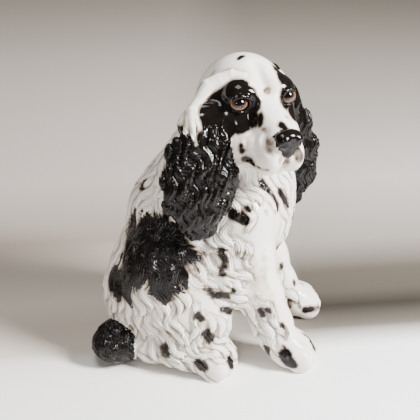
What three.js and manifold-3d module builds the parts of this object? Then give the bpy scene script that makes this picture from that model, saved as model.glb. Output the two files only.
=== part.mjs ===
// Seated ceramic spaniel: a slip-cast earthenware figure, cast hollow in sections that
// are luted together, then glazed white and black. Millimetres, +Z up, floor at z = 0.
// The body faces -Y, the dog's left is +X, and the head is turned to the dog's right.
import * as THREE from 'three';
import { mergeVertices } from 'three/addons/utils/BufferGeometryUtils.js';
import Module from 'manifold-3d';

const wasm = await Module();
wasm.setup();

// Driving sizes of the figure.
const FIGURE_HEIGHT = 330; // floor to the top of the skull
const BODY_LENGTH = 210; // tail to chest
const HAUNCH_WIDTH = 160; // across both haunches
const HEAD_LENGTH = 130; // back of the skull to the tip of the nose
const EAR_LENGTH = 135; // ear root to the lowest lock
const EAR_THICKNESS = 24; // through the thick of an ear
const PAW_WIDTH = 48; // across the toes of one paw
const TAIL_DIAMETER = 50; // the tufted docked tail
const EYE_DIAMETER = 14; // one eye, inside its lids
const NOSE_WIDTH = 28; // across the nose pad

// Making sizes.
const WALL = 5; // thickness left by the slip in a casting
const SEAM = 0.35; // clearance between neighbouring sections
const VENT_DIAMETER = 18; // drain and vent hole in the underside
const PORT_DIAMETER = 12; // passage between a limb's hollow and the torso's
const NECK_SEAM_DROP = 49; // flat joint under the head, below the middle of the skull

// Placements are written for the nominal figure and stretched by these three ratios.
const SPREAD = HAUNCH_WIDTH / 160;
const REACH = BODY_LENGTH / 210;
const RISE = FIGURE_HEIGHT / 330;
const HEAD_RATIO = HEAD_LENGTH / 130;
const PAW_RATIO = PAW_WIDTH / 48;
const EAR_RATIO = EAR_LENGTH / 135;
const FAR = 4 * FIGURE_HEIGHT; // bigger than the figure in any direction
const HOLLOW_FORMS = 2; // a limb is hollow in its two thickest forms
const FACET_WIDTH = 7; // a lump gains one flat for each such step in its half size

const stretch = new THREE.Vector3(SPREAD, REACH, RISE);

// A place on the dog: mm to its left, forward of its middle and up from the floor.
const at = (left, forward, up) =>
  new THREE.Vector3(left, -forward, up).multiply(stretch);

// A turn in degrees: yaw towards the dog's right, then pitch with the front going up.
function turn(yaw = 0, pitch = 0) {
  const rad = THREE.MathUtils.degToRad;
  return new THREE.Quaternion().setFromEuler(
    new THREE.Euler(-rad(pitch), 0, -rad(yaw), 'ZXY')
  );
}

// ---- Turning shapes into solids -------------------------------------------------

function toSolid(shape) {
  const bare = shape.index ? shape.toNonIndexed() : shape.clone();
  bare.deleteAttribute('normal');
  bare.deleteAttribute('uv');
  const merged = mergeVertices(bare, 1e-4);
  const index = Array.from(merged.index.array);
  const faces = [];
  for (let i = 0; i < index.length; i += 3) {
    const [a, b, c] = index.slice(i, i + 3);
    if (a !== b && b !== c && c !== a) faces.push(a, b, c);
  }
  const triVerts = Uint32Array.from(faces);
  const vertProperties = Float32Array.from(merged.attributes.position.array);
  return new wasm.Manifold(new wasm.Mesh({ numProp: 3, vertProperties, triVerts }));
}

function toMesh(name, solid, glaze) {
  const { vertProperties, triVerts } = solid.getMesh();
  const shape = new THREE.BufferGeometry();
  shape.setAttribute('position', new THREE.BufferAttribute(vertProperties, 3));
  shape.setIndex(new THREE.BufferAttribute(triVerts, 1));
  shape.computeVertexNormals();
  const mesh = new THREE.Mesh(shape, new THREE.MeshStandardMaterial(glaze));
  mesh.name = name;
  return mesh;
}

// ---- Modelling forms: each is a function of how far its skin is moved outwards ---

// An egg-shaped lump of clay with half sizes across, along and tall.
function ball(centre, across, along, tall, turned = turn()) {
  const flats = 7 + Math.max(across, along, tall) / FACET_WIDTH;
  const form = (grow, share = 1) => {
    const round = Math.round(flats * share);
    const shape = new THREE.SphereGeometry(1, round, Math.round(round * 0.6));
    shape.rotateX(Math.PI / 2);
    shape.scale(across + grow, along + grow, tall + grow);
    shape.applyQuaternion(turned);
    return shape.translate(centre.x, centre.y, centre.z);
  };
  return form;
}

// A body lump, whose half sizes follow the three stretch ratios.
const lump = (centre, across, along, tall, turned) =>
  ball(centre, across * SPREAD, along * REACH, tall * RISE, turned);

// A round limb that tapers from one radius to another.
function limb(from, to, fromRadius, toRadius, facets = 11) {
  const form = (grow, share = 1) => {
    const bends = share < 1 ? 2 : 3;
    const length = from.distanceTo(to);
    const lean = Math.asin((fromRadius - toRadius) / length);
    const profile = [];
    for (const [middle, radius, start, end] of [
      [0, fromRadius + grow, -Math.PI / 2, lean],
      [length, toRadius + grow, lean, Math.PI / 2],
    ]) {
      for (let i = 0; i <= bends; i++) {
        const angle = start + ((end - start) * i) / bends;
        const reach = Math.abs(Math.cos(angle)) < 1e-9 ? 0 : radius * Math.cos(angle);
        profile.push(new THREE.Vector2(reach, middle + radius * Math.sin(angle)));
      }
    }
    const shape = new THREE.LatheGeometry(profile, Math.round(facets * share));
    const along = to.clone().sub(from).normalize();
    const upright = new THREE.Vector3(0, 1, 0);
    shape.applyQuaternion(new THREE.Quaternion().setFromUnitVectors(upright, along));
    return shape.translate(from.x, from.y, from.z);
  };
  return form;
}

// A run of limbs through several places.
function limbs(places, radii) {
  const runs = [];
  for (let i = 1; i < places.length; i++) {
    runs.push(limb(places[i - 1], places[i], radii[i - 1], radii[i]));
  }
  return runs;
}

const fuse = (forms, grow = 0, share = 1) =>
  forms.map((form) => toSolid(form(grow, share))).reduce((whole, piece) => whole.add(piece));

// The slip-cast hollow inside a set of forms.
const hollow = (forms) => fuse(forms, -WALL, 0.5);

function slice(low, high) {
  const block = new THREE.BoxGeometry(FAR, FAR, high - low);
  return toSolid(block.translate(0, 0, (low + high) / 2));
}

const aboveFloor = (solid, floor = 0) => solid.intersect(slice(floor, FAR));

const headTurn = turn(63);
const headCentre = at(-12, 22, 287);
const neckSeam = headCentre.z - NECK_SEAM_DROP;

// ---- Torso: the neck, ribs, loins, rump, chest, bib, belly and the flat seat -----------

const neck = [
  limb(at(0, -46, 162), at(-8, 2, 262), 52, 37, 14),
  limb(at(0, 28, 160), at(-8, 16, 256), 42, 35, 14),
];

const torsoForms = [
  ...neck,
  lump(at(0, -12, 148), 55, 66, 62, turn(0, 35)),
  lump(at(0, -50, 112), 58, 78, 60, turn(0, 52)),
  lump(at(-2, -76, 60), 57, 53, 62, turn(0, 15)),
  lump(at(2, 40, 168), 40, 33, 58, turn(0, -6)),
  lump(at(0, -2, 95), 40, 58, 44, turn(0, 20)),
  lump(at(0, -70, 26), 50, 50, 40),
];

const torsoBlock = (grow) => fuse(torsoForms, grow).intersect(slice(-grow, neckSeam + grow));

function ventHole() {
  const hole = new THREE.CylinderGeometry(VENT_DIAMETER / 2, VENT_DIAMETER / 2, 4 * WALL, 32);
  const centre = at(0, -62, 0);
  return toSolid(hole.rotateX(Math.PI / 2).translate(centre.x, centre.y, WALL));
}

// Passages that let each limb's hollow drain into the torso.
const port = (from, to) => limb(from, to, PORT_DIAMETER / 2, PORT_DIAMETER / 2, 10);
const ports = {
  right_foreleg: port(at(-44, 24, 132), at(-8, -4, 132)),
  left_foreleg: port(at(48, 34, 140), at(8, 0, 140)),
  right_hind_leg: port(at(-62, -46, 90), at(-10, -46, 90)),
  left_hind_leg: port(at(66, -46, 90), at(10, -46, 90)),
  tail: port(at(-46, -112, 24), at(-10, -76, 40)),
};

function torso() {
  const cavity = aboveFloor(hollow(torsoForms), WALL);
  const drains = fuse(Object.values(ports));
  return torsoBlock(0).subtract(cavity).subtract(drains).subtract(ventHole());
}

// ---- Head: skull, brows, cheeks, muzzle with its flews, and the top of the neck ---

const onHead = (left, forward, up) =>
  new THREE.Vector3(left, -forward, up)
    .multiplyScalar(HEAD_RATIO)
    .applyQuaternion(headTurn)
    .add(headCentre);

function headLump(left, forward, up, across, along, tall, pitch = 0) {
  const turned = headTurn.clone().multiply(turn(0, pitch));
  const sizes = [across, along, tall].map((size) => size * HEAD_RATIO);
  return ball(onHead(left, forward, up), ...sizes, turned);
}

const sides = [-1, 1];

const skull = [headLump(0, -4, 2, 41, 46, 41), headLump(0, -28, -8, 37, 30, 36)];

const headForms = [
  ...skull,
  headLump(0, 44, -8, 18, 36, 15, -20),
  headLump(0, 54, -30, 23, 28, 22, -16),
  headLump(0, 52, -48, 15, 24, 13, -10),
  ...sides.flatMap((side) => [
    headLump(side * 20, 26, 12, 17, 17, 14),
    headLump(side * 27, 16, -18, 15, 26, 24),
    headLump(side * 12, 58, -38, 13, 24, 20, -14),
    headLump(side * 28, 31, 6, 10, 7, 9),
  ]),
];

function eye(side) {
  const turned = headTurn.clone().multiply(turn(-24 * side));
  const radius = EYE_DIAMETER / 2;
  return ball(onHead(side * 28.5, 37, 6), radius, radius / 2, radius, turned);
}

const noseForms = [
  headLump(0, 81, -17, NOSE_WIDTH / 2 / HEAD_RATIO, 8, 9),
  headLump(0, 80, -24, NOSE_WIDTH / 3 / HEAD_RATIO, 7, 10),
];

const nostrils = sides.map((side) => headLump(side * 7.5, 89, -19, 3.4, 4, 2.6));

function head() {
  const crown = fuse(neck).intersect(slice(neckSeam, FAR));
  const throat = hollow(neck);
  const inside = hollow(skull).add(throat);
  const sockets = fuse([eye(-1), eye(1)], SEAM);
  return fuse(headForms)
    .add(crown)
    .subtract(inside)
    .subtract(sockets)
    .subtract(torsoBlock(SEAM));
}

const nose = () => fuse(noseForms).subtract(fuse(headForms, SEAM)).subtract(fuse(nostrils));

// ---- Ears: a flat pad of clay with long wavy locks tooled down its outer face -------

// Places down the middle of an ear, from its root beside the skull to its lowest lock:
// left, forward and up from the middle of the skull.
const earLines = {
  right: [
    [-22, -32, 3], [-38, -38, -17], [-49, -42, -41],
    [-57, -45, -65], [-61, -46, -87], [-61, -44, -105],
  ],
  left: [
    [32, 28, 5], [42, 42, -15], [46, 52, -41],
    [48, 58, -69], [47, 58, -95], [45, 52, -113],
  ],
};
const earWidths = { right: [18, 25, 32, 36, 34, 26], left: [12, 16, 20, 24, 22, 16] };

function earPlaces(side) {
  const root = earLines[side][0][2];
  return earLines[side].map(([left, forward, up]) => {
    const hang = root * HEAD_RATIO + (up - root) * EAR_RATIO;
    const place = new THREE.Vector3(left * HEAD_RATIO, -forward * HEAD_RATIO, hang);
    return place.add(headCentre);
  });
}

// One lock: a round strand that waves forward and back on its way down.
function lock(curve, radius) {
  return (grow) => {
    const round = new THREE.Shape();
    round.absarc(0, 0, radius + grow, 0, 2 * Math.PI);
    const strand = { extrudePath: curve, steps: 7, curveSegments: 3 };
    return new THREE.ExtrudeGeometry(round, strand);
  };
}

function earForms(side) {
  const out = side === 'right' ? -1 : 1;
  const places = earPlaces(side);
  const widths = earWidths[side];
  const thick = EAR_THICKNESS / 2;
  const pads = places.map((place, i) => ball(place, thick, widths[i], 22 * EAR_RATIO));
  const locks = [-0.78, -0.4, 0, 0.4, 0.78].flatMap((share, n) => {
    const line = places.map((place, i) => {
      const wave = 2.2 * Math.sin(2.1 * i + n);
      const depth = out * (thick - 3) * Math.sqrt(1 - share * share);
      const lift = i === 0 ? -6 : -2;
      return place.clone().add(new THREE.Vector3(depth, -share * widths[i] - wave, lift));
    });
    const curve = new THREE.CatmullRomCurve3(line);
    const tip = curve.getPoint(1);
    return [lock(curve, 6), ball(tip, 6.5, 6.5, 9)];
  });
  return [...pads, ...locks];
}

// ---- Legs and tail ------------------------------------------------------------------

// A paw stands on the floor in front of its ankle: one pad and four toes, flat beneath.
function pawForms(ankle, yaw, ahead) {
  const turned = turn(yaw);
  const below = new THREE.Vector3(ankle.x, ankle.y, 0);
  const place = (left, forward, up) =>
    new THREE.Vector3(left, -forward, up)
      .multiplyScalar(PAW_RATIO)
      .applyQuaternion(turned)
      .add(below);
  const size = (mm) => mm * PAW_RATIO;
  const pad = ball(place(0, ahead, 18), size(24), size(24), size(21), turned);
  const toes = [-16, -5.5, 5.5, 16].map((left) => {
    const lead = ahead + (Math.abs(left) < 10 ? 15 : 11);
    return ball(place(left, lead, 11), size(7.8), size(12), size(13), turned);
  });
  return [pad, ...toes];
}

function forelegForms(places, radii, yaw) {
  const spots = places.map((place) => at(...place));
  return [...limbs(spots, radii), ...pawForms(spots.at(-1), yaw, 13)];
}

const rightForeleg = forelegForms(
  [[-36, 20, 172], [-40, 26, 125], [-42, 40, 82], [-46, 54, 48], [-48, 62, 28]],
  [34, 27, 23, 20, 19],
  8
);
const leftForeleg = forelegForms(
  [[38, 26, 172], [46, 42, 125], [50, 58, 80], [52, 72, 44], [54, 80, 26]],
  [34, 25, 19, 17, 17],
  -6
);

// A folded hind leg: haunch, thigh, and the long foot lying on the floor.
function hindLegForms(out, foot, toeYaw) {
  const spots = foot.map((place) => at(...place));
  return [
    lump(at(out * 47, -46, 97), 32, 56, 60, turn(0, 25)),
    lump(at(out * 51, -36, 58), 26, 46, 36, turn(-10 * out, 0)),
    ...limbs(spots, [20, 22, 21]),
    ...pawForms(spots.at(-1), toeYaw, 9),
  ];
}

const rightHindLeg = hindLegForms(-1, [[-46, -78, 22], [-56, -40, 25], [-60, -20, 24]], 22);
const leftHindLeg = hindLegForms(1, [[50, -78, 22], [60, -36, 24], [64, -16, 23]], -24);

const tailForms = [
  limb(at(-28, -94, 36), at(-48, -112, 25), 20, 22),
  ball(at(-48, -114, 21), TAIL_DIAMETER / 2, TAIL_DIAMETER / 2, TAIL_DIAMETER * 0.46),
];

// A limb is cast hollow at its thick end, where its port leads into the torso, and it
// clears the torso and its neighbours.
function casting(name, forms, neighbours) {
  const cavity = hollow(forms.slice(0, HOLLOW_FORMS)).add(fuse([ports[name]]));
  return clear(aboveFloor(fuse(forms)).subtract(cavity), neighbours);
}

function clear(solid, neighbours) {
  const trimmed = solid.subtract(torsoBlock(SEAM));
  return neighbours.reduce((left, forms) => left.subtract(fuse(forms, SEAM)), trimmed);
}

function ear(side) {
  const solid = clear(fuse(earForms(side)), [headForms, rightForeleg, leftForeleg, rightHindLeg]);
  return solid.subtract(fuse(neck, SEAM));
}

// ---- The figure -----------------------------------------------------------------------

const WHITE_GLAZE = { color: 0xe9e6e0, roughness: 0.12, metalness: 0 };
const BLACK_GLAZE = { color: 0x1c1917, roughness: 0.1, metalness: 0 };
const AMBER_GLAZE = { color: 0x6b3a16, roughness: 0.06, metalness: 0 };

function figure() {
  const group = new THREE.Group();
  group.name = 'ceramic_dog_figurine';
  const add = (name, solid, glaze) => group.add(toMesh(name, solid, glaze));
  add('torso', torso(), WHITE_GLAZE);
  add('head', head(), WHITE_GLAZE);
  add('nose', nose(), BLACK_GLAZE);
  add('right_eye', fuse([eye(-1)]), AMBER_GLAZE);
  add('left_eye', fuse([eye(1)]), AMBER_GLAZE);
  add('right_ear', ear('right'), BLACK_GLAZE);
  add('left_ear', ear('left'), BLACK_GLAZE);
  add('right_foreleg', casting('right_foreleg', rightForeleg, []), WHITE_GLAZE);
  add('left_foreleg', casting('left_foreleg', leftForeleg, []), WHITE_GLAZE);
  add('right_hind_leg', casting('right_hind_leg', rightHindLeg, [rightForeleg]), WHITE_GLAZE);
  add('left_hind_leg', casting('left_hind_leg', leftHindLeg, [leftForeleg]), WHITE_GLAZE);
  add('tail', casting('tail', tailForms, [rightHindLeg, leftHindLeg]), BLACK_GLAZE);
  return centred(group);
}

// The origin is the middle of the figure's outline, on the floor.
function centred(group) {
  const middle = new THREE.Box3().setFromObject(group).getCenter(new THREE.Vector3());
  for (const mesh of group.children) mesh.geometry.translate(-middle.x, -middle.y, 0);
  return group;
}

export default figure();
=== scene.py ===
# A seated spaniel in glazed earthenware, black and white, about 33 cm high. The real one
# is slip-cast in sections that are luted together, its hair tooled in the soft clay, then
# painted in black underglaze and dipped in a clear glossy glaze. This script works in the
# same order: all the sections are pressed into one volume of clay, the hair is tooled, the
# paint is laid on, and the skin is then shared out among the castings and glazed.
from math import cos, pi, radians, sin

import bpy
import numpy as np
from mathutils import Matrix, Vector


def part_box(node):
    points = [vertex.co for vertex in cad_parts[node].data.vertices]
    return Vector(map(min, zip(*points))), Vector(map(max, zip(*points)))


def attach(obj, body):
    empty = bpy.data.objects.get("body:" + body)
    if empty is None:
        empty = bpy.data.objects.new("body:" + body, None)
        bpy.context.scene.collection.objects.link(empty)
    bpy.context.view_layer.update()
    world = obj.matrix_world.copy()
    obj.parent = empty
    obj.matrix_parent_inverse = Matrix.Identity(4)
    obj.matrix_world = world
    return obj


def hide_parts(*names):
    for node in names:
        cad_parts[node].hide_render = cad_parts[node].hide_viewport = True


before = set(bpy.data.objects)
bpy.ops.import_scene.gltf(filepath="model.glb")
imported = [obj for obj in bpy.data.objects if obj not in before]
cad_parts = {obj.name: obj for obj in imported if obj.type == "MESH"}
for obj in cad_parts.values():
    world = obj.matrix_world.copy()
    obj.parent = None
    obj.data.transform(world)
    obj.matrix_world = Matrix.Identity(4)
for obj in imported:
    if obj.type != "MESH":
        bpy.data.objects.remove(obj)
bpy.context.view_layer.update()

import openvdb
from mathutils import Vector

# ---- Torso -----------------------------------------------------------------------------
# The body casting, from the seat up to the neck, in white earthenware. It is built up like
# clay from lumps that are pressed together, with their joins smoothed. Places are in
# millimetres to the dog's left, forward of its middle and up from the floor.

GRAIN = 1.1  # spacing of the clay's grid
CLAY_LOW = np.array((-110.0, -160.0, -4.0))
CLAY_HIGH = np.array((110.0, 150.0, 342.0))
AIR = 12.0  # the clay is measured no further out than this
counts = np.ceil((CLAY_HIGH - CLAY_LOW) / GRAIN).astype(int) + 1
clay = np.full(counts, AIR, np.float32)
nearest = np.full(counts, AIR, np.float32)
owner = np.zeros(counts, np.uint8)
steps = [(CLAY_LOW[i] + GRAIN * np.arange(counts[i])).astype(np.float32) for i in range(3)]
castings = ["torso", "head", "nose", "right_ear", "left_ear", "right_foreleg", "left_foreleg",
            "right_hind_leg", "left_hind_leg", "tail"]


def turned(yaw=0, pitch=0, roll=0):
    """Axes of a lump, as columns: yaw turns it to the dog's right, pitch raises its front."""
    y, p, r = radians(yaw), radians(pitch), radians(roll)
    front = np.array([-sin(y) * cos(p), cos(y) * cos(p), sin(p)])
    level = np.array([cos(y), sin(y), 0.0])
    above = np.array([sin(y) * sin(p), -cos(y) * sin(p), cos(p)])
    return np.stack([level * cos(r) + above * sin(r), front, above * cos(r) - level * sin(r)], 1)


def corner_of_clay(low, high):
    """The part of the grid between two places, and its coordinates."""
    first = np.clip(np.floor((low - CLAY_LOW) / GRAIN).astype(int), 0, counts)
    last = np.clip(np.ceil((high - CLAY_LOW) / GRAIN).astype(int) + 1, 0, counts)
    cells = tuple(slice(first[i], last[i]) for i in range(3))
    x = steps[0][cells[0]][:, None, None]
    y = steps[1][cells[1]][None, :, None]
    z = steps[2][cells[2]][None, None, :]
    return cells, x, y, z


def press(cells, lump, smooth, piece=None):
    """Adds a lump to the clay and smooths the join over about the given width."""
    there = clay[cells]
    near = np.maximum(smooth - np.abs(there - lump), 0) / max(smooth, 1e-6)
    clay[cells] = np.minimum(there, lump) - near * near * smooth / 4
    if piece is not None:
        closer = lump < nearest[cells]
        nearest[cells] = np.where(closer, lump, nearest[cells])
        owner[cells] = np.where(closer, castings.index(piece), owner[cells])


def carve(cells, tool, smooth):
    """Takes the tool's shape out of the clay with softened edges."""
    there = clay[cells]
    near = np.maximum(smooth - np.abs(there + tool), 0) / max(smooth, 1e-6)
    clay[cells] = np.maximum(there, -tool) + near * near * smooth / 4


def egg(centre, sizes, axes, x, y, z):
    """Distance to an egg-shaped lump."""
    sizes = np.asarray(sizes, float)
    off = (x - centre[0], y - centre[1], z - centre[2])
    local = [off[0] * axes[0, i] + off[1] * axes[1, i] + off[2] * axes[2, i] for i in range(3)]
    near = np.sqrt(sum((local[i] / sizes[i]) ** 2 for i in range(3)))
    slope = np.sqrt(sum((local[i] / sizes[i] ** 2) ** 2 for i in range(3))) + 1e-6
    return (near * (near - 1) / slope).astype(np.float32)


def roll(start, end, start_radius, end_radius, x, y, z):
    """Distance to a tapering roll of clay with round ends."""
    start, end = np.asarray(start, float), np.asarray(end, float)
    along = end - start
    share = (x - start[0]) * along[0] + (y - start[1]) * along[1] + (z - start[2]) * along[2]
    share = np.clip(share / (along @ along), 0, 1)
    gap = np.sqrt(
        (x - start[0] - share * along[0]) ** 2
        + (y - start[1] - share * along[1]) ** 2
        + (z - start[2] - share * along[2]) ** 2
    )
    return (gap - start_radius - share * (end_radius - start_radius)).astype(np.float32)


def add_egg(piece, centre, sizes, axes=turned(), smooth=12):
    reach = max(sizes) + smooth + 3
    centre = np.asarray(centre, float)
    cells, x, y, z = corner_of_clay(centre - reach, centre + reach)
    press(cells, egg(centre, sizes, axes, x, y, z), smooth, piece)


def add_rolls(piece, places, radii, smooth=10):
    for i in range(1, len(places)):
        start, end = np.asarray(places[i - 1], float), np.asarray(places[i], float)
        reach = max(radii[i - 1], radii[i]) + smooth + 3
        low, high = np.minimum(start, end) - reach, np.maximum(start, end) + reach
        cells, x, y, z = corner_of_clay(low, high)
        press(cells, roll(start, end, radii[i - 1], radii[i], x, y, z), smooth, piece)


add_egg("torso", (0, -12, 148), (55, 66, 62), turned(0, 35), 0)
add_egg("torso", (0, -50, 112), (58, 78, 60), turned(0, 52), 16)
add_egg("torso", (-2, -76, 60), (57, 53, 62), turned(0, 15), 14)
add_rolls("torso", [(0, -46, 162), (-8, 2, 250)], [52, 37], 16)
add_rolls("torso", [(0, 28, 160), (-8, 16, 250)], [42, 35], 16)
add_egg("torso", (2, 38, 166), (41, 35, 58), turned(0, -6), 14)
add_egg("torso", (2, 46, 192), (30, 26, 40), turned(10), 12)
add_egg("torso", (0, -2, 95), (40, 58, 44), turned(0, 20), 14)
add_egg("torso", (0, -70, 26), (50, 50, 40), turned(), 12)

# ---- Forelegs and hind legs ------------------------------------------------------------
# Four limbs, cast apart and luted to the torso. The forelegs stand apart, the left one a
# little ahead; the hind legs are folded, with the long foot flat on the floor.

toe_groove = [(9, 33), (19, 27), (27, 14), (27, 2)]  # ahead of the pad's middle, and up


def add_paw(piece, ankle, yaw, ahead):
    axes = turned(yaw)
    below = np.array((ankle[0], ankle[1], 0.0))
    add_egg(piece, below + axes @ (0, ahead, 18), (24, 24, 21), axes, 8)
    for left in (-16, -5.5, 5.5, 16):
        lead = ahead + (14 if abs(left) < 10 else 10)
        add_egg(piece, below + axes @ (left, lead, 12), (7.9, 14, 13.5), axes, 2)
    for left in (-10.7, 0, 10.7):
        groove = [below + axes @ (left, ahead + along, up) for along, up in toe_groove]
        for start, end in zip(groove, groove[1:]):
            low, high = np.minimum(start, end) - 6, np.maximum(start, end) + 6
            cells, x, y, z = corner_of_clay(low, high)
            carve(cells, roll(start, end, 0.8, 0.8, x, y, z), 3)


foreleg_places = {
    "right_foreleg": [(-36, 20, 172), (-40, 26, 125), (-42, 40, 82), (-46, 54, 48), (-48, 62, 28)],
    "left_foreleg": [(38, 26, 172), (46, 42, 125), (50, 58, 80), (52, 72, 44), (54, 80, 26)],
}
add_rolls("right_foreleg", foreleg_places["right_foreleg"], [34, 27, 23, 20, 19])
add_paw("right_foreleg", foreleg_places["right_foreleg"][-1], 8, 13)
add_rolls("left_foreleg", foreleg_places["left_foreleg"], [34, 25, 19, 17, 17])
add_paw("left_foreleg", foreleg_places["left_foreleg"][-1], -6, 13)

# A fringe of hair hangs behind each elbow.
add_rolls("right_foreleg", [(-52, 0, 150), (-57, 8, 112), (-59, 16, 84)], [17, 14, 8], 10)
add_rolls("left_foreleg", [(52, 14, 150), (57, 22, 112), (59, 30, 84)], [17, 14, 8], 10)

foot_places = {
    "right_hind_leg": [(-46, -78, 22), (-56, -40, 25), (-60, -20, 24)],
    "left_hind_leg": [(50, -78, 22), (60, -36, 24), (64, -16, 23)],
}
for piece, out, yaw in (("right_hind_leg", -1, 22), ("left_hind_leg", 1, -24)):
    add_egg(piece, (out * 47, -46, 97), (32, 56, 60), turned(0, 25), 14)
    add_egg(piece, (out * 51, -36, 58), (26, 46, 36), turned(-10 * out), 12)
    add_rolls(piece, foot_places[piece], [20, 22, 21])
    add_paw(piece, foot_places[piece][-1], yaw, 9)

# ---- Tail --------------------------------------------------------------------------------
# A docked, tufted tail, cast apart and luted on behind the seat; it lies on the floor
# towards the dog's right.

add_rolls("tail", [(-28, -94, 36), (-45, -112, 26)], [20, 20], 8)
add_egg("tail", (-45, -115, 23), (24, 26, 19), turned(), 6)

# ---- Head --------------------------------------------------------------------------------
# A hollow casting turned to the dog's right: domed skull, brows, square muzzle with hanging
# flews. The lids, the mouth and the nostrils are cut with a modelling tool.

HEAD_YAW = 63
head_axes = turned(HEAD_YAW)
head_centre = np.array((-12.0, 22.0, 287.0))


def on_head(left, forward, up):
    return head_centre + head_axes @ (left, forward, up)


def add_head_egg(left, forward, up, sizes, pitch=0, smooth=10, yaw=0):
    add_egg("head", on_head(left, forward, up), sizes, head_axes @ turned(yaw, pitch), smooth)


def add_head_rolls(places, radii, smooth):
    add_rolls("head", [on_head(*place) for place in places], radii, smooth)


def carve_head_rolls(places, radius, smooth):
    for i in range(1, len(places)):
        start, end = on_head(*places[i - 1]), on_head(*places[i])
        reach = radius + smooth + 3
        low, high = np.minimum(start, end) - reach, np.maximum(start, end) + reach
        cells, x, y, z = corner_of_clay(low, high)
        carve(cells, roll(start, end, radius, radius, x, y, z), smooth)


add_head_egg(0, -4, 2, (41, 46, 41), 0, 8)
add_head_egg(0, -28, -8, (37, 30, 36), 0, 14)
add_head_egg(0, 44, -8, (17, 36, 15), -20, 12)
add_head_egg(0, 54, -30, (22, 28, 21), -16, 9)
add_head_egg(0, 50, -46, (15, 22, 12), -10, 6)
for side in (-1, 1):
    add_head_egg(side * 20, 26, 12, (17, 17, 14), 0, 9)
    add_head_egg(side * 27, 14, -18, (15, 27, 24), 0, 12)
    add_head_egg(side * 24, 34, -34, (14, 24, 19), -12, 10)
    add_head_egg(side * 12.5, 58, -38, (13, 24, 20), -14, 5)

# The eyes sit in shallow sockets between two thin lids.
eye_spots = {"right_eye": (-27.5, 34.6, 6), "left_eye": (24.5, 35.6, 7)}
for left, forward, up in eye_spots.values():
    out = 1 if left > 0 else -1
    eye = on_head(left, forward, up)
    cells, x, y, z = corner_of_clay(eye - 20, eye + 20)
    carve(cells, egg(on_head(left, forward + 9, up), (9, 4, 7), head_axes, x, y, z), 9)
    lid = [(8.6, 1.0), (5.2, 5.9), (0, 8.0), (-5.4, 6.9), (-9.4, 0.5)]
    upper = [
        (left + out * a, forward + 6.6 - abs(a) * 0.25 - a * 0.35, up + b) for a, b in lid
    ]
    lower = [
        (left + out * a, forward + 5.6 - abs(a) * 0.2 - a * 0.35, up - b * 0.86) for a, b in lid
    ]
    add_head_rolls(upper, [0.9, 1.4, 1.6, 1.4, 0.9], 3)
    add_head_rolls(lower, [0.6, 0.7, 0.8, 0.7, 0.6], 2.5)

# The philtrum is a groove below the nose and the mouth a line under the flews; soft creases
# run back from the nose, and a furrow runs up the forehead.
carve_head_rolls([(0, 84, -36), (0, 79, -42), (0, 76, -48), (0, 69, -55)], 2.2, 3)
for side in (-1, 1):
    carve_head_rolls([(side * 28, 46, -41), (side * 26, 60, -46), (side * 21, 74, -50)], 1.0, 2.5)
    carve_head_rolls([(side * 3, 84, -35), (side * 9, 81, -37)], 0.9, 4)
for side in (-1, 1):
    beside_nose = [(15, 66, -14), (19, 67, -21), (20, 72, -27), (17, 78, -32)]
    carve_head_rolls([(side * left, forward, up) for left, forward, up in beside_nose], 0.9, 4)
    carve_head_rolls([(side * 22, 58, -20), (side * 25, 63, -29), (side * 24, 70, -35)], 0.7, 3.5)
    carve_head_rolls([(side * 29, 53, -24), (side * 31, 55, -33), (side * 28, 59, -41)], 0.7, 3.5)
carve_head_rolls([(0, 36, 16), (0, 20, 36)], 2.0, 12)

# ---- Nose --------------------------------------------------------------------------------
# A pad of clay laid on the tip of the muzzle, flat on top, with two comma-shaped nostrils.


def add_nose_egg(left, forward, up, sizes, smooth):
    add_egg("nose", on_head(left, forward, up), sizes, head_axes, smooth)


add_nose_egg(0, 80, -17, (13.5, 8.5, 7), 1.0)
add_nose_egg(0, 81, -23, (11, 8, 8), 2)
add_nose_egg(0, 80, -30, (6, 6, 7), 3)
for side in (-1, 1):
    add_nose_egg(side * 7.5, 84, -20, (5.5, 5.5, 6), 2)
    carve_head_rolls([(side * 6.5, 92, -21), (side * 8.5, 90, -21.5)], 2.2, 1.5)
    carve_head_rolls([(side * 9, 89.5, -22), (side * 13.5, 84, -24)], 1.1, 1.5)
carve_head_rolls([(0, 91, -17), (0, 91, -24), (0, 87, -36)], 0.8, 2.5)

# ---- Ears --------------------------------------------------------------------------------
# Two long ears, cast apart: flat pads hung from the sides of the skull. The places down
# their middles are measured from the middle of the head.

right_ear_places = [(-22, -32, 3), (-38, -38, -17), (-49, -42, -41),
                    (-57, -45, -65), (-61, -48, -87), (-61, -47, -104)]
left_ear_places = [(32, 28, 5), (42, 42, -15), (46, 52, -41),
                   (48, 58, -69), (47, 58, -95), (45, 52, -113)]


def add_ear(piece, places, widths, thickness):
    for place, width in zip(places, widths):
        add_egg(piece, head_centre + place, (thickness, width, 22), turned(), 8)


add_ear("right_ear", right_ear_places, [18, 28, 35, 38, 33, 20], 11)
add_ear("left_ear", left_ear_places, [12, 17, 21, 25, 23, 17], 10)

# ---- Hair --------------------------------------------------------------------------------
# Wavy locks of hair, each of four strands, tooled in the soft clay with a wire loop. They
# follow the lie of the coat, overlap like slates and taper to a point. The face, the paws
# and the fronts of the forelegs are smooth.

rng = np.random.default_rng(11)
bare = clay.copy()

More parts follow.
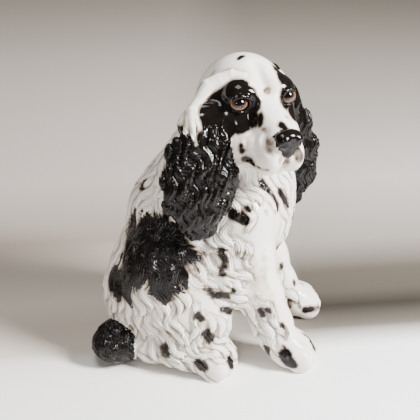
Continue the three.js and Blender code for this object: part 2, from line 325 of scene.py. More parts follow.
# Where the hair lies which way: a place on the dog, and the way its hair runs there.
right_lie = [
    ((-20, -92, 196), (0, -0.6, -0.8)),
    ((-20, -122, 120), (0, -0.1, -1)),
    ((-46, -50, 175), (0, -0.1, -1)),
    ((-72, -60, 125), (0, 0.35, -0.9)),
    ((-74, -20, 125), (0, 0.7, -0.7)),
    ((-70, 0, 105), (0, 1, -0.35)),
    ((-56, -100, 110), (-0.1, 0.1, -1)),
    ((-72, -45, 85), (0, 0.25, -1)),
    ((-74, -20, 62), (0, 0.1, -1)),
    ((-70, -50, 35), (0, 0.8, -0.55)),
    ((-78, -10, 26), (0, 0.9, -0.5)),
    ((-40, -110, 60), (-0.3, -0.2, -0.9)),
    ((-38, 4, 110), (0, 1, -0.3)),
    ((-30, 6, 80), (0, 1, -0.5)),
    ((-46, 20, 60), (0, 0.6, -0.8)),
    ((-36, 52, 185), (0.25, 0.45, -0.9)),
    ((-40, 30, 205), (0, 0.35, -0.9)),
    ((-4, 76, 170), (0.1, 0, -1)),
    ((-6, 66, 120), (0, -0.3, -1)),
    ((-40, 20, 140), (0, 0.2, -1)),
]
lie = right_lie + [((-p[0], p[1], p[2]), (-d[0], d[1], d[2])) for p, d in right_lie]
lie += [
    ((33, -2, 282), (0.2, -0.1, -1)),
    ((20, -16, 270), (0, -0.3, -1)),
    ((-66, -114, 34), (-0.3, 0.5, -0.7)),
    ((-48, -134, 30), (-0.8, -0.2, -0.5)),
    ((-48, -114, 46), (-0.4, -0.9, 0)),
]
lie_places = np.array([p for p, d in lie], float)
lie_ways = np.array([d for p, d in lie], float)
lie_ways /= np.linalg.norm(lie_ways, axis=1, keepdims=True)


def across_grid(volume, places):
    """The volume's values at these places, in between its grid points."""
    spot = np.clip((places - CLAY_LOW) / GRAIN, 0, counts - 1.001)
    low = spot.astype(int)
    share = spot - low
    total = 0
    for corner in np.ndindex(2, 2, 2):
        weight = np.prod(np.where(corner, share, 1 - share), axis=-1)
        total = total + weight * volume[tuple((low + corner).T)]
    return total


def outward(volume, places):
    """Unit normals of the clay at these places."""
    slope = np.stack(
        [
            across_grid(volume, places + step) - across_grid(volume, places - step)
            for step in np.eye(3) * 1.5
        ],
        1,
    )
    return slope / (np.linalg.norm(slope, axis=1, keepdims=True) + 1e-9)


def hair_way(places, normals):
    """The lie of the hair, flat against the skin."""
    gaps = ((places[:, None, :] - lie_places) ** 2).sum(2) + 30
    weight = gaps**-2
    way = weight @ lie_ways / weight.sum(1, keepdims=True)
    way -= (way * normals).sum(1, keepdims=True) * normals
    return way / (np.linalg.norm(way, axis=1, keepdims=True) + 1e-9)


def skin_of(volume):
    """Points in the clay's millimetres, and the four-sided faces between them."""
    grid = openvdb.FloatGrid(AIR)
    grid.copyFromArray(volume)
    places, quads = grid.convertToQuads(isovalue=0.0)
    return places * GRAIN + CLAY_LOW, quads.astype(np.int64)


def sample(volume, places):
    """The volume's values at the nearest grid points."""
    index = np.clip(np.rint((places - CLAY_LOW) / GRAIN).astype(int), 0, counts - 1)
    return volume[index[:, 0], index[:, 1], index[:, 2]]


def spread_roots(places, ways, across, stretch):
    """Picks places at least this far apart across the hair, and further apart along it."""
    taken = {}
    kept = []
    cell_of = np.floor(places / (across * stretch)).astype(int)
    around = [np.array(step) - 1 for step in np.ndindex(3, 3, 3)]
    for n in range(len(places)):
        cell = cell_of[n]
        near = [m for step in around for m in taken.get(tuple(cell + step), ())]
        if near:
            gap = places[near] - places[n]
            along = gap @ ways[n]
            squared = (gap**2).sum(1) - along**2 * (1 - 1 / stretch**2)
            if squared.min() < across**2:
                continue
        taken.setdefault(tuple(cell), []).append(n)
        kept.append(n)
    return kept


def smooth_between(low, high, value):
    share = np.clip((value - low) / (high - low), 0, 1)
    return share * share * (3 - 2 * share)


ROOTS_TRIED = 26000
LOCK_SPACING = 8.4  # from a lock to the one beside it
LOCK_STAGGER = 1.8  # how much further apart locks are along the hair than across it

everywhere = skin_of(bare)[0]
everywhere = everywhere[rng.permutation(len(everywhere))[:ROOTS_TRIED]]
root_owner = sample(owner, everywhere)
on = {name: root_owner == castings.index(name) for name in castings}
facing = outward(bare, everywhere)
forward_of, height_of = everywhere[:, 1], everywhere[:, 2]
forelegs = on["right_foreleg"] | on["left_foreleg"]
hind_legs = on["right_hind_leg"] | on["left_hind_leg"]
on_skull = (everywhere - head_centre) @ head_axes
face = (on_skull[:, 1] > -14) | (on_skull[:, 2] > 4)
smooth_skin = (on["head"] & face) | on["nose"] | on["right_ear"] | on["left_ear"]
smooth_skin |= height_of < 7
smooth_skin |= forelegs & ((height_of < 46) | (facing[:, 1] > -0.1))
smooth_skin |= hind_legs & (forward_of > -30) & (height_of < 40 + 0.3 * forward_of)
everywhere, facing = everywhere[~smooth_skin], facing[~smooth_skin]
ways = hair_way(everywhere, facing)
roots = everywhere[spread_roots(everywhere, ways, LOCK_SPACING, LOCK_STAGGER)]
roots = roots[np.argsort(roots[:, 2])]

# The locks lie flatter and straighter on the chest, and lower on the back and near the floor.
LOCK_POINTS = 10
number = len(roots)
chest = smooth_between(20, 40, roots[:, 1]) * smooth_between(150, 170, roots[:, 2])
back_of_dog = smooth_between(50, 95, -roots[:, 1]) * smooth_between(60, 110, roots[:, 2])
lock_length = 40.0 * rng.uniform(0.8, 1.2, number)
lock_width = rng.uniform(0.8, 1.2, number)
lock_rise = 2.5 * rng.uniform(0.75, 1.25, number) * (1 - 0.5 * chest) * (1 - 0.45 * back_of_dog)
lock_rise *= 0.7 + 0.3 * smooth_between(20, 60, roots[:, 2])
wave_rate = 0.17  # radians a millimetre, or a wave every 37 mm
wave_size = 0.62 * rng.uniform(0.6, 1.3, number) * (1 - 0.4 * chest)
wave_phase = roots @ (0.02, 0.05, 0.0) - roots[:, 2] * wave_rate + rng.normal(0, 0.55, number)
lean = rng.normal(0, 0.12, number)

here = roots.copy()
lock_paths, lock_sides, lock_ways, lock_facing = [], [], [], []
for step in range(LOCK_POINTS):
    share = step / (LOCK_POINTS - 1)
    normals = outward(bare, here)
    here = here - across_grid(bare, here)[:, None] * normals
    way = hair_way(here, normals)
    side = np.cross(normals, way)
    bend = wave_size * np.sin(wave_phase + wave_rate * lock_length * share) + lean
    heading = way * np.cos(bend)[:, None] + side * np.sin(bend)[:, None]
    crimp = 0.35 * np.sin(1.0 + wave_phase + wave_rate * lock_length * share)
    height = lock_rise * (-1.15 + 2.2 * share**0.8) + crimp
    lock_paths.append(here + normals * height[:, None])
    lock_sides.append(np.cross(normals, heading))
    lock_ways.append(heading)
    lock_facing.append(normals)
    here = here + heading * (lock_length / (LOCK_POINTS - 1))[:, None]
lock_paths, lock_sides = np.array(lock_paths), np.array(lock_sides)
lock_ways, lock_facing = np.array(lock_ways), np.array(lock_facing)

# How far a lock's strands fan out, and how thick they are, from its root to its tip.
FANNED = np.array([0.8, 0.95, 1.0, 1.0, 1.0, 0.95, 0.82, 0.62, 0.36, 0.08])
FULL = np.array([0.8, 1.0, 1.0, 1.0, 1.0, 1.0, 0.95, 0.85, 0.65, 0.35])
STRAND_RADIUS = 1.5
STRAND_GAP = 2.6  # from one strand to the next in a lock
lock_near = np.full(counts, AIR, np.float32)
lock_of = np.zeros(counts, np.uint16)


def add_strand(path, radii, lock):
    reach = radii.max() + 2.0
    cells, x, y, z = corner_of_clay(path.min(0) - reach, path.max(0) + reach)
    strand = roll(path[0], path[1], radii[0], radii[1], x, y, z)
    for i in range(2, len(path)):
        strand = np.minimum(strand, roll(path[i - 1], path[i], radii[i - 1], radii[i], x, y, z))
    press(cells, strand, 0.4)
    closer = strand < lock_near[cells]
    lock_near[cells] = np.where(closer, strand, lock_near[cells])
    lock_of[cells] = np.where(closer, lock, lock_of[cells])


for n in range(number):
    wide = lock_width[n]
    for row in (-1.5, -0.5, 0.5, 1.5):
        shift = lock_sides[:, n] * (row * STRAND_GAP * wide * FANNED[:, None])
        drop = lock_facing[:, n] * (-0.55 * row * row)
        last = LOCK_POINTS - rng.integers(0, 2)
        path = (lock_paths[:, n] + shift + drop)[:last]
        add_strand(path, (FULL * STRAND_RADIUS * wide)[:last], n + 1)

# The ears are combed instead: long wavy strands run from the root to the tip, and gather in
# locks that part and join again.
LOCK_PITCH, COMB_PITCH, WAVE_PITCH = 10.5, 2.7, 23


def comb_ear(piece, low, high):
    """Tools the ear that lies between two corners: x, y and z as for the clay."""
    cells, x, y, z = corner_of_clay(np.array(low, float), np.array(high, float))
    fall = 330 - z  # below the crown
    turn = fall * 2 * np.pi / WAVE_PITCH + 0.15 * y
    turn = turn + 0.9 * np.sin(y / 5.5) + 1.4 * np.sin(fall / 27) + 0.05 * x
    wave = 2.5 * np.sin(turn)
    swing = 2.0 * np.sin(fall / 13 + y / 7)
    over = y + wave + swing + 0.25 * x
    lock_phase = np.pi * over / LOCK_PITCH
    first = np.abs(np.sin(lock_phase)) ** 0.7
    second = np.abs(np.cos(lock_phase)) ** 0.7
    mingling = np.sin(fall / 11 + 1.7 * np.sin(y / 9)) + 0.7 * np.sin(y / 6.5 - fall / 17)
    locks = first + (second - first) * smooth_between(-0.5, 0.5, mingling)
    strands = 0.55 * np.cos(2 * np.pi * over / COMB_PITCH)
    crimp = 0.5 * np.sin(turn + 1.9)
    root = smooth_between(48, 66, fall)
    rise = (2.9 * locks - 1.2 + strands + crimp) * root
    mine = smooth_between(2, 5, lock_near[cells]) * (owner[cells] == castings.index(piece))
    clay[cells] -= (rise * mine).astype(np.float32)


comb_ear("right_ear", (-105, -80, 160), (-20, 40, 300))
comb_ear("left_ear", (-10, 30, 150), (75, 125, 300))

# ---- Forelock ----------------------------------------------------------------------------
# A smooth band of white hair from each brow over the root of the ear, tooled last: flat
# strands side by side, which part and end in points on the black locks.

forelock_lines = {
    "right": [(-43, 20, 316), (-40, 6, 319), (-41, -5, 315), (-43, -15, 308), (-49, -28, 298),
              (-56, -31, 288), (-61, -31, 281), (-64, -30, 274), (-66.5, -28, 267), (-70, -26, 258)],
    "left": [(-9, 56, 313), (-5, 63, 307), (-2, 69, 299), (-4, 73, 290), (-8, 76, 281)],
}
forelock_widths = {
    "right": [3, 4.4, 5.2, 4.6, 3.6, 3.2, 3.8, 4.8, 5.8, 6.8],
    "left": [1.5, 2, 2.2, 2, 1.5],
}
# Each strand: where it lies across the band at the brow and at its tip, as a share of the
# width, and how many of the last places it stops short of.
forelock_strands = [(-1, -2.1, 2), (-0.66, -1.7, 1), (-0.33, -0.25, 1), (0, 0, 0),
                    (0.33, 0.15, 1), (0.66, 1.0, 2), (1, 1.2, 1)]
forelock = np.full(counts, AIR, np.float32)
for name, line in forelock_lines.items():
    line = np.array(line, float)
    normals = outward(bare, line)
    line = line - across_grid(bare, line)[:, None] * normals
    run = np.gradient(line, axis=0)
    beside = np.cross(run, normals)
    beside /= np.linalg.norm(beside, axis=1, keepdims=True)
    width = np.array(forelock_widths[name])[:, None]
    parted = (np.arange(len(line))[:, None] / (len(line) - 1)) ** 3
    for begins, ends, short in forelock_strands:
        place = begins + (ends - begins) * parted
        strand = line + beside * place * width + normals * (0.4 - 1.2 * place * place)
        last = len(line) - short
        radii = np.linspace(2.5, 2.2, len(line))
        radii[[0, last - 2, last - 1]] = 1.2, 1.5, 0.4
        for i in range(1, last):
            low, high = np.minimum(strand[i - 1], strand[i]), np.maximum(strand[i - 1], strand[i])
            cells, x, y, z = corner_of_clay(low - 8, high + 8)
            band = roll(strand[i - 1], strand[i], radii[i - 1], radii[i], x, y, z)
            press(cells, band, 0.8, "head")
            forelock[cells] = np.minimum(forelock[cells], band)

# ---- Painting ----------------------------------------------------------------------------
# The markings in black underglaze: a depth of paint in millimetres at each place, from
# round and long dabs. In the coat a dab takes whole locks, so its edge is ragged.

clay = np.maximum(clay, -steps[2][None, None, :]).astype(np.float32)
points, quads = skin_of(clay)


def dab(places, start, end, radius):
    """Depth inside a long dab."""
    start, end = np.asarray(start, float), np.asarray(end, float)
    along = end - start
    share = np.clip((places - start) @ along / max(along @ along, 1e-6), 0, 1)
    return radius - np.linalg.norm(places - start - share[:, None] * along, axis=1)


def head_dab(places, start, end, radius):
    """The same, with its ends given on the head."""
    return dab(places, on_head(*start), on_head(*end), radius)


# Where each point is in its lock: the nearest place along it, and how far across it.
lock_here = np.where(sample(lock_near, points) < 1.2, sample(lock_of, points).astype(int), 0)
in_lock = lock_here > 0
gaps = ((points[:, None, :] - lock_paths[:, lock_here - 1].transpose(1, 0, 2)) ** 2).sum(2)
closest = gaps.argmin(1)
offset = points - lock_paths[closest, lock_here - 1]
sideways = np.clip((offset * lock_sides[closest, lock_here - 1]).sum(1), -9, 9)

# The brush drags paint along the hair by up to 4.5 mm, a different length every 1.5 mm
# across a lock. Spots follow that a little, and large patches take most of a lock.
bristle = np.rint(sideways / 1.5).astype(int) + 6
drag = rng.uniform(-4.5, 4.5, (number, 13))[lock_here - 1, bristle]
dragged = lock_ways[closest, lock_here - 1] * drag[:, None]
near_coat = points + np.where(in_lock[:, None], dragged * 0.4, 0)
lock_middle = np.where(in_lock[:, None], lock_paths[6][lock_here - 1], points)
coat = (points + np.where(in_lock[:, None], dragged, 0)) * 0.45 + lock_middle * 0.55
across = np.where(in_lock, np.abs(sideways - STRAND_GAP), STRAND_GAP / 4)
point_owner = sample(owner, points)

# Large patches on the body: each dab's two ends and its radius.
patches = [
    ((-50, -78, 150), (-62, -54, 138), 23),
    ((-66, -78, 122), (-70, -54, 116), 23),
    ((-76, -68, 106), (-76, -52, 104), 13),
    ((-36, -96, 146), (-44, -94, 140), 19),
    ((-64, -33, 134), (-62, -24, 128), 12),
    ((-56, -66, 166), (-62, -52, 160), 14),
    ((-64, -42, 150), (-62, -34, 144), 12),
    ((-42, -102, 134), (-58, -97, 114), 18),
    ((-38, -117, 96), (-62, -104, 90), 18),
    ((48, -70, 150), (68, -60, 118), 30),
]
paint = np.full(len(points), -9.0)
for start, end, radius in patches:
    paint = np.maximum(paint, dab(coat, start, end, radius) * 0.8)

# Black round the eyes and down the sides of the head; the nose, ears and tail are all black.
masks = [
    ((-26, 40, 12), (-30, 38, -6), 14),
    ((-30, 28, 22), (-44, 24, 8), 12),
    ((-50, 26, -6), (-50, 26, -30), 19),
    ((-36, 34, -8), (-44, 34, -14), 14),
    ((26, 42, 8), (28, 32, 22), 13),
    ((26, 22, 29), (40, 20, 20), 9),
    ((38, 34, -8), (46, 28, -26), 15),
    ((52, 18, -6), (52, 16, -30), 18),
    ((40, 30, 6), (48, 20, -4), 12),
    ((-20, 44, 4), (-18, 43, 8), 8.5),
    ((-22, 46, -6), (-30, 42, -12), 9.5),
    ((-23, 38, 20), (-21, 36, 25), 4),
    ((-44, 22, 10), (-58, 24, -2), 9),
]
on_face = point_owner == castings.index("head")
for start, end, radius in masks:
    mask = head_dab(points, start, end, radius) + 1
    paint = np.where(on_face, np.maximum(paint, mask), paint)
for name in ("nose", "right_ear", "left_ear", "tail"):
    paint = np.where(point_owner == castings.index(name), 4.0, paint)

# The forelocks are left white, and so is the skull behind the right one.
paint = np.minimum(paint, 1.6 * across_grid(forelock, points) - 1.6)
paint = np.minimum(paint, -dab(points, (-42, -36, 304), (-58, -50, 286), 16))

# Single spots: two ends, radius and how dark, from 3 for black to under 1 for a grey smudge.
# Those on the face are placed on the head.
face_spots = [
    ((-11, 5, 41), (-6, 3, 42), 3.2, 3),
    ((-31, -6, 28), (-37, -8, 22), 1.0, 1),
    ((3, 35, 15), (3, 36, 13), 3.2, 0.7),
    ((-3, 72, -8), (-1, 76, -10), 4.2, 3),
    ((-15, 53, -1), (-15, 56, -9), 4.4, 3),
    ((-16, 63, -13), (-16, 64, -14), 3.0, 1.4),
    ((-15, 72, -21), (-16, 74, -27), 4.4, 0.6),
    ((-33, 51, -30), (-33, 52, -35), 3.8, 3),
    ((-8, 80, -39), (-8, 81, -40), 2.4, 0.5),
    # Painted shade down the cleft under the nose.
    ((0, 80, -38), (0, 74, -50), 3.4, 1.2),
    ((7, 65, -4), (7, 66, -4), 2.4, 0.5),
    ((-29, 52, -41), (-25, 59, -46), 5, 3),
    ((-24, 63, -47), (-19, 76, -48), 1.9, 1.5),
    # Painted shade under the nose on the far flew.
    ((10, 81, -33), (13, 81, -39), 5.6, 1.6),
]
for start, end, radius, dark in face_spots:
    paint = np.maximum(paint, np.minimum(head_dab(points, start, end, radius), dark))

body_spots = [
    ((-42, 39, 207), (-41, 55, 181), 5.5, 3),
    ((-34, 58, 195), (-29, 67, 178), 4.5, 3),
    ((-64, 24, 191), (-64, 25, 189), 4.6, 3),
    ((-66, 10, 186), (-70, 20, 181), 7, 3),
    ((-68, 27, 180), (-68, 28, 179), 2.2, 0.4),
    ((-59, 42, 184), (-59, 44, 182), 2.2, 0.2),
    ((-20, 60, 132), (-22, 56, 118), 3.6, 1.2),
    ((-70, 18, 143), (-69, 24, 140), 5, 0.8),
    ((32, 69, 77), (32, 70, 72), 3.4, 2),
    ((-12, 76, 168), (-16, 74, 156), 4.5, 2),
    ((-67, 39, 77), (-67, 41, 70), 4.4, 3),
    ((-68, 47, 77), (-68, 48, 75), 3.8, 3),
    ((-65, 53, 69), (-65, 54, 65), 2.4, 0.6),
    ((-65, 62, 57), (-65, 68, 45), 4.0, 3),
    ((-61, 48, 26), (-61, 48, 17), 5, 3),
    ((-69, 65, 33), (-71, 66, 28), 3.6, 3),
    ((-72, 66, 25), (-73, 72, 14), 8, 3),
    ((-48, 87, 38), (-51, 95, 28), 2.6, 2.4),
    ((-50, 97, 28), (-54, 101, 18), 5, 3),
    ((39, 86, 50), (40, 87, 46), 3.4, 2),
    ((50, 98, 44), (54, 99, 42), 3.4, 2),
    ((31, 100, 16), (40, 114, 15), 5, 3),
    ((34, 81, 26), (34, 82, 20), 3.4, 1.2),
    ((32, 91, 26), (31, 94, 19), 1.8, 0.6),
    ((56, 112, 30), (57, 112, 22), 4, 2),
    ((-71, -3, 147), (-72, 2, 136), 5.5, 2.4),
    ((-72, 2, 134), (-72, -2, 123), 4.8, 2),
    ((-75, -16, 108), (-73, -10, 97), 4.5, 1.8),
    ((-73, -7, 97), (-70, 4, 95), 5.5, 3),
    ((-71, 3, 97), (-74, 10, 103), 4.2, 2.2),
    ((-68, 0, 78), (-63, 10, 71), 4.8, 3),
    ((-18, -83, 198), (-20, -83, 195), 5.4, 3),
    ((-12, -120, 140), (-12, -120, 134), 3.5, 1),
    ((-57, -97, 47), (-59, -95, 45), 4, 2),
    ((-76, -57, 55), (-78, -54, 50), 4.2, 1.2),
    ((-75, -62, 34), (-74, -60, 28), 7, 1.6),
    ((-80, -26, 77), (-79, -22, 73), 5.5, 3),
    ((-79, -16, 55), (-79, -12, 47), 7, 3),
    ((-88, -26, 24), (-86, -20, 19), 6.5, 3),
    ((-79, 8, 25), (-79, 10, 17), 5.5, 3),
    ((-81, -13, 38), (-81, -11, 34), 2.4, 0.5),
    ((70, -30, 70), (72, -20, 60), 6, 2),
    ((62, -90, 70), (66, -84, 60), 7, 2),
    ((68, 30, 100), (68, 36, 92), 4, 2),
]
for start, end, radius, dark in body_spots:
    paint = np.maximum(paint, np.minimum(dab(near_coat, start, end, radius), dark))

# Painted shade: thin grey washes on the cheeks and the sides of the forelegs, fading out at their
# edges.
painted_shade_washes = [
    (on_head(-35, 44, -24), on_head(-29, 52, -42), 17),
    (on_head(35, 44, -24), on_head(29, 52, -42), 17),
    ((-66, 34, 132), (-67, 46, 78), 17),
    ((62, 34, 132), (63, 46, 78), 17),
]
for start, end, radius in painted_shade_washes:
    paint = np.maximum(paint, np.minimum(dab(points, start, end, radius) * 0.12 - 1.7, -0.6))
paint = np.clip(paint, -4, 4)

# ---- Firing ------------------------------------------------------------------------------
# The joins are sponged away before firing and the glaze runs over them, so the whole figure
# is one skin. Each casting takes its own share of it, and is closed inside along the join.

eye_middle = np.array([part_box("right_eye"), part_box("left_eye")]).mean((0, 1)) * 1000
modelled = on_head(0, 37, 6)
OFFSET = np.array((eye_middle[0] - modelled[0], eye_middle[1] + modelled[1], 0.0))


def to_frame(places):
    """From millimetres to the dog's left, forward and up, to metres in the CAD frame."""
    places = np.asarray(places, float)
    flipped = np.stack([places[..., 0], -places[..., 1], places[..., 2]], -1)
    return (flipped + OFFSET) / 1000


def at_points(face_values, faces, count):
    """Adds up values of the faces at their corners."""
    corners = faces.ravel()
    spread = np.repeat(face_values, 4, axis=0)
    columns = [np.bincount(corners, spread[:, i], count) for i in range(spread.shape[1])]
    return np.stack(columns, 1)


skin = to_frame(points)
crossing = np.cross(skin[quads[:, 2]] - skin[quads[:, 0]], skin[quads[:, 3]] - skin[quads[:, 1]])
if (crossing * skin[quads[:, 0]]).sum() < 0:
    quads, crossing = quads[:, ::-1], -crossing
skin_normals = at_points(crossing, quads, len(skin))
skin_normals /= np.linalg.norm(skin_normals, axis=1, keepdims=True) + 1e-15

# Votes for the casting that owns each place, evened out so that no share has islands.
votes = np.eye(len(castings))[point_owner]
share_count = at_points(np.ones((len(quads), 1)), quads, len(points))


def evened(values, rounds):
    """Averages values with those of the points around, over and over."""
    for _ in range(rounds):
        values = at_points(values[quads].mean(1), quads, len(points)) / share_count
    return values


face_owner = evened(votes, 10)[quads].mean(1).argmax(1)

# How deep each point lies below the hair around it; this sets the painted shade there.
height = across_grid(bare, points)[:, None]
painted_recess_shade = np.clip((evened(height, 14) - height)[:, 0] * 1.5 + 0.15, 0, 1)
RIM_DEPTH = 0.0025  # how far a casting's edge is turned in, in metres


def close_inside(faces, count, places, normals):
    """Faces that close a piece of skin: a rim turned inwards, then a fan to its middle."""
    starts, ends = faces.ravel(), np.roll(faces, -1, 1).ravel()
    edges = set((starts * count + ends).tolist())
    open_edges = [
        (a, b) for a, b in zip(starts.tolist(), ends.tolist()) if b * count + a not in edges
    ]
    group = {}

    def top(n):
        while group.setdefault(n, n) != n:
            n = group[n]
        return n

    for a, b in open_edges:
        group[top(a)] = top(b)
    rim = sorted({n for edge in open_edges for n in edge})
    inner = {n: count + i for i, n in enumerate(rim)}
    inner_places = places[rim] - normals[rim] * RIM_DEPTH
    loops = sorted({top(n) for n in rim})
    hub = {n: count + len(rim) + i for i, n in enumerate(loops)}
    member = np.array([top(n) for n in rim])
    hub_places = [inner_places[member == n].mean(0) for n in loops]
    walls = [(b, a, inner[a], inner[b]) for a, b in open_edges]
    fans = [(inner[b], inner[a], hub[top(a)]) for a, b in open_edges]
    return np.array(list(inner_places) + hub_places).reshape(-1, 3), walls + fans, rim


def add_number(mesh, name, values):
    layer = mesh.attributes.new(name, "FLOAT", "POINT")
    layer.data.foreach_set("value", np.ascontiguousarray(values, np.float32))


# ---- Glaze -------------------------------------------------------------------------------
# Clear glossy glaze over a warm white body with black underglaze. The paint's edge is a little
# feathered and brown, and painted shade darkens the white in the recesses between the locks.


def linear(code):
    """A linear colour from an sRGB hex code."""
    parts = [int(code[i:i + 2], 16) / 255 for i in (1, 3, 5)]
    return tuple(p / 12.92 if p <= 0.04045 else ((p + 0.055) / 1.055) ** 2.4 for p in parts) + (1,)


def material(name):
    made = bpy.data.materials.new(name)
    made.use_nodes = True
    return made, made.node_tree.nodes["Principled BSDF"]


def node(tree, kind, settings=None, **inputs):
    """Adds a node; an input is a value, or another node's output to link."""
    made = tree.nodes.new("ShaderNode" + kind)
    for name, value in (settings or {}).items():
        setattr(made, name, value)
    for name, value in inputs.items():
        by_number = name[0] == "_"
        socket = made.inputs[int(name[1:]) if by_number else name.replace("_", " ")]
        if isinstance(value, bpy.types.NodeSocket):
            tree.links.new(value, socket)
        else:
            socket.default_value = value
    return made


def ramp(tree, factor, stops):
    made = node(tree, "ValToRGB", Fac=factor)
    colours = made.color_ramp.elements
    while len(colours) < len(stops):
        colours.new(0.5)
    for stop, (place, code) in zip(colours, stops):
        stop.position = place
        stop.color = linear(code)
    return made.outputs["Color"]


def grain(millimetres):
    """The scale of a noise whose blots are about this wide."""
    return 1000 / millimetres


# Glossy, with a faint orange peel. The ramp from no paint to full paint covers 4 mm, and two
# noises make its edge wander.
glaze, shader = material("glazed_earthenware_white_and_black")
tree = glaze.node_tree
spot = node(tree, "TexCoord").outputs["Object"]
depth = node(tree, "Attribute", {"attribute_name": "paint"}).outputs["Fac"]
recess_shade = node(tree, "Attribute", {"attribute_name": "painted_recess_shade"}).outputs["Fac"]
brush = node(tree, "TexNoise", Vector=spot, Scale=grain(3.85), Detail=3).outputs["Fac"]
ragged = node(tree, "TexNoise", Vector=spot, Scale=grain(9.1), Detail=1).outputs["Fac"]
multiply_add = {"operation": "MULTIPLY_ADD"}
shifted = node(tree, "Math", multiply_add, _0=brush, _1=2.0, _2=depth).outputs[0]
shifted = node(tree, "Math", multiply_add, _0=ragged, _1=4.0, _2=shifted).outputs[0]
inked = node(tree, "MapRange", Value=shifted, From_Min=1.6, From_Max=5.6).outputs["Result"]

# Painted shade darkens the grooves between the strands, a strand apart.
across_lock = node(tree, "Attribute", {"attribute_name": "across"}).outputs["Fac"]
turns = node(tree, "Math", {"operation": "MULTIPLY"}, _0=across_lock, _1=2 * pi / STRAND_GAP)
lines = node(tree, "Math", {"operation": "SINE"}, _0=turns.outputs[0]).outputs[0]
groove_shade = node(tree, "MapRange", Value=lines, From_Min=1.0, From_Max=-1.0, To_Max=0.28)
shaded = node(
    tree, "Math", {"operation": "ADD", "use_clamp": True}, _0=recess_shade, _1=groove_shade.outputs["Result"]
).outputs[0]

# The white body is mixed towards a painted shade colour in the recesses and the strand grooves.
cloud = node(tree, "TexNoise", Vector=spot, Scale=grain(36), Detail=2).outputs["Fac"]
body = ramp(tree, cloud, [(0.3, "#e6dfd5"), (0.7, "#f1ece4")])
painted_shade_colour = ramp(tree, cloud, [(0.3, "#877a6d"), (0.7, "#95897c")])
white = node(tree, "Mix", {"data_type": "RGBA"}, _0=shaded, _6=body, _7=painted_shade_colour).outputs[2]
black = ramp(tree, brush, [(0.35, "#0a0807"), (0.75, "#120e0c")])
halo = [(0.0, "#ffffff"), (0.35, "#d5cec6"), (0.6, "#857b73"), (0.85, "#2f2a27")]
edge = ramp(tree, inked, halo)
over_white = {"data_type": "RGBA", "blend_type": "MULTIPLY"}
tinted = node(tree, "Mix", over_white, _0=1.0, _6=white, _7=edge).outputs[2]
full = node(tree, "MapRange", Value=inked, From_Min=0.75, From_Max=0.95).outputs["Result"]
colour = node(tree, "Mix", {"data_type": "RGBA"}, _0=full, _6=tinted, _7=black).outputs[2]
tree.links.new(colour, shader.inputs["Base Color"])

orange_peel = node(tree, "TexNoise", Vector=spot, Scale=grain(1.11), Detail=1).outputs["Fac"]
gloss = node(tree, "MapRange", Value=orange_peel, To_Min=0.06, To_Max=0.13).outputs["Result"]
tree.links.new(gloss, shader.inputs["Roughness"])
shader.inputs["Specular IOR Level"].default_value = 0.2
bump = node(tree, "Bump", Strength=0.8, Distance=0.0003, Height=lines).outputs["Normal"]
tree.links.new(bump, shader.inputs["Normal"])

for number_of, name in enumerate(castings):
    mine = quads[face_owner == number_of]
    used, faces = np.unique(mine, return_inverse=True)
    faces = faces.reshape(-1, 4)
    normals = skin_normals[used]
    extra, closing, rim = close_inside(faces, len(used), skin[used], normals)
    filler = len(extra)
    mesh = bpy.data.meshes.new(name + "_casting")
    mesh.from_pydata(np.vstack([skin[used], extra]), [], faces.tolist() + closing)
    add_number(mesh, "paint", np.append(paint[used], np.full(filler, -4.0)))
    add_number(mesh, "painted_recess_shade", np.append(painted_recess_shade[used], np.zeros(filler)))
    add_number(mesh, "across", np.append(across[used], np.zeros(filler)))
    mesh.shade_smooth()
    hub_normals = np.tile((0.0, 0.0, 1.0), (filler - len(rim), 1))
    mesh.normals_split_custom_set_from_vertices(np.vstack([normals, normals[rim], hub_normals]))
    mesh.materials.append(glaze)
    thing = bpy.data.objects.new(name + "_casting", mesh)
    bpy.context.scene.collection.objects.link(thing)
    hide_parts(name)
    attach(thing, "root")

# ---- Eyes --------------------------------------------------------------------------------
# Two balls set between the lids, painted with a wide dark pupil in an amber iris that is
# darker at its rim, under a thick drop of clear glaze that makes them smoother than the rest.

EYE_SIZE = np.array((9.4, 8.4, 8.0))  # half sizes across, forward and up
gaze = np.array((-0.26, 0.86, 0.46))
gaze /= np.linalg.norm(gaze)

eye_glaze, shader = material("painted_amber_eye")
tree = eye_glaze.node_tree
spot = node(tree, "TexCoord").outputs["Object"]
ring = node(tree, "Attribute", {"attribute_name": "from_pupil"}).outputs["Fac"]
fleck = node(tree, "TexNoise", Vector=spot, Scale=grain(1.43), Detail=2).outputs["Fac"]
wander = node(tree, "Math", multiply_add, _0=fleck, _1=0.12, _2=ring).outputs[0]
iris = ramp(tree, wander, [
    (0.40, "#060404"), (0.50, "#1a0e09"), (0.62, "#3a2217"), (0.78, "#5a4030"), (0.89, "#75604f"),
    (0.97, "#120d0b"),
])
tree.links.new(iris, shader.inputs["Base Color"])
shader.inputs["Roughness"].default_value = 0.04
shader.inputs["Specular IOR Level"].default_value = 0.3

for name, (left, forward, up) in eye_spots.items():
    bpy.ops.mesh.primitive_uv_sphere_add(segments=48, ring_count=32, radius=1)
    ball = bpy.context.object
    ball.name = name + "_ball"
    spots = np.array([vertex.co[:] for vertex in ball.data.vertices])
    apart = np.arccos(np.clip(spots @ gaze, -1, 1)) * EYE_SIZE[1]
    placed = to_frame(on_head(left, forward, up) + (spots * EYE_SIZE) @ head_axes.T)
    for vertex, place in zip(ball.data.vertices, placed):
        vertex.co = place
    ball.data.flip_normals()
    add_number(ball.data, "from_pupil", apart / 10)
    ball.data.shade_smooth()
    ball.data.materials.append(eye_glaze)
    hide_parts(name)
    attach(ball, "root")
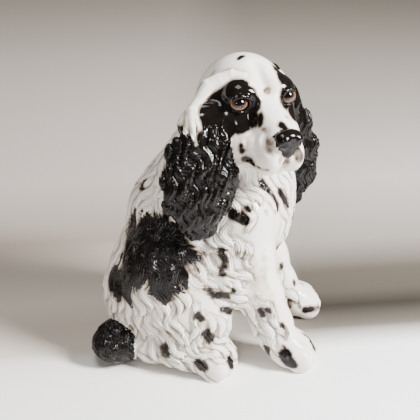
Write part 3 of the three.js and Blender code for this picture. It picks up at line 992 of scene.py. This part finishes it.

# ---- Studio ------------------------------------------------------------------------------
# A long sheet of paper, its colour carrying painted light: near white under the figure, fading
# into warm grey behind it, with a darker band of painted shade behind the forepaws.

paper, shader = material("studio_paper_painted_light")
tree = paper.node_tree
spot = node(tree, "TexCoord").outputs["Object"]
parts = node(tree, "SeparateXYZ", Vector=spot).outputs
slanted = node(tree, "Math", multiply_add, _0=parts["Y"], _1=0.12, _2=parts["X"]).outputs[0]
depth = node(tree, "MapRange", Value=slanted, From_Min=-0.2, From_Max=1.8).outputs["Result"]
# Both ramps are painted light fall-off; the right one also holds the dark painted shade band.
left_painted_falloff = ramp(tree, depth, [
    (0.0, "#f4f2f0"), (0.066, "#efece8"), (0.084, "#e4e0dc"), (0.094, "#c6bcb1"),
    (0.12, "#bfb5a9"), (0.148, "#cbc2b7"), (0.235, "#958a7f"), (0.353, "#c0b5ae"),
    (0.53, "#cfc3bc"), (0.82, "#dcd2c8"),
])
right_painted_falloff = ramp(tree, depth, [
    (0.0, "#f8f7f6"), (0.080, "#f4f3f2"), (0.091, "#b9b4af"), (0.102, "#5c564e"),
    (0.124, "#29241e"), (0.143, "#4c463d"), (0.169, "#524c42"), (0.215, "#918a83"),
    (0.333, "#bcb5b0"), (0.513, "#b6aea8"), (0.8, "#beb5ab"),
])
across_view = node(tree, "MapRange", Value=parts["Y"], From_Min=0.12, From_Max=-0.12)
side = across_view.outputs["Result"]
shade = node(tree, "Mix", {"data_type": "RGBA"}, _0=side, _6=left_painted_falloff, _7=right_painted_falloff).outputs[2]
tree.links.new(shade, shader.inputs["Base Color"])
fibres = node(tree, "TexNoise", Vector=spot, Scale=grain(2.5), Detail=3).outputs["Fac"]
tooth = node(tree, "Bump", Strength=0.05, Distance=0.0002, Height=fibres).outputs["Normal"]
tree.links.new(tooth, shader.inputs["Normal"])
shader.inputs["Roughness"].default_value = 0.6
bpy.ops.mesh.primitive_plane_add(size=10, location=(0, 0, 0))
ground = bpy.context.object
ground.name = "studio_paper"
ground.data.materials.append(paper)

world = bpy.data.worlds.new("studio")
bpy.context.scene.world = world
world.use_nodes = True
world.node_tree.nodes["Background"].inputs[0].default_value = linear("#f5ead9")
world.node_tree.nodes["Background"].inputs[1].default_value = 0.25


def soft_light(name, place, size, watts, aim=(0, 0, 0.16)):
    lamp = bpy.data.lights.new(name, "AREA")
    lamp.shape = "RECTANGLE"
    lamp.size, lamp.size_y = size
    lamp.energy = watts
    thing = bpy.data.objects.new(name, lamp)
    bpy.context.scene.collection.objects.link(thing)
    thing.location = place
    thing.rotation_euler = (Vector(aim) - Vector(place)).to_track_quat("-Z", "Y").to_euler()


soft_light("key_softbox", (-0.62, -1.32, 1.22), (0.42, 0.6), 155)
soft_light("top_softbox", (-0.2, 0.3, 1.7), (0.7, 0.5), 14)
soft_light("small_lamp", (-1.3, 0.25, 0.9), (0.15, 0.15), 5)

AZIMUTH, ELEVATION, DISTANCE = radians(-90), radians(24), 0.8
target = Vector(to_frame((0, -13, 160)))
back = Vector((sin(AZIMUTH) * cos(ELEVATION), -cos(AZIMUTH) * cos(ELEVATION), sin(ELEVATION)))
camera = bpy.data.objects.new("camera", bpy.data.cameras.new("camera"))
bpy.context.scene.collection.objects.link(camera)
camera.location = target + back * DISTANCE
camera.rotation_euler = (-back).to_track_quat("-Z", "Y").to_euler()
camera.data.sensor_width = 36
camera.data.lens = 64.1
bpy.context.scene.camera = camera
